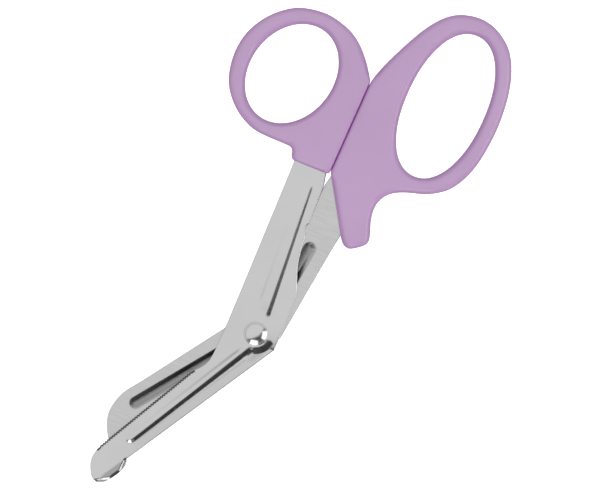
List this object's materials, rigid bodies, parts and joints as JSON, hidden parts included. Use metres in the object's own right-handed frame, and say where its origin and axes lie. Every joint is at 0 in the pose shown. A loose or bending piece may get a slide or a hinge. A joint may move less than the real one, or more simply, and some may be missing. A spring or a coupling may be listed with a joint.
{
  "type": "bent-blade utility shears",
  "caption": "Utility shears with bent pressed-steel blades, a blunt foot at the tip, a fine-toothed lower jaw, a domed pivot rivet and moulded lavender ring handles, lying flat and closed.",
  "frame": {"origin": "centre of the closed shears' bounding box, on the flat the handles and the foot rest on", "axes": "+Y up the front blade's shank towards the handles, +X towards the finger loop, +Z out of the face with the domed rivet"},
  "size_m": [0.0641, 0.135, 0.0076],
  "materials": {
    "blade_steel": "satin, finely ground",
    "handle_plastic": "smooth moulded lavender, soft gloss",
    "rivet_steel": "polished dome",
    "washer_steel": "plain stamped"
  },
  "bodies": {
    "thumb_half": {"front_blade": "blade_steel", "thumb_handle": "handle_plastic", "pivot_rivet": "rivet_steel", "tension_washer": "washer_steel"},
    "finger_half": {"rear_blade": "blade_steel", "finger_handle": "handle_plastic"}
  },
  "joints": [
    {"name": "blade_pivot", "type": "hinge", "parent": "thumb_half", "child": "finger_half", "pos_m": [-0.0026, -0.0211, 0.0038], "axis": [0, 0, -1], "range_deg": [0, 90]}
  ]
}
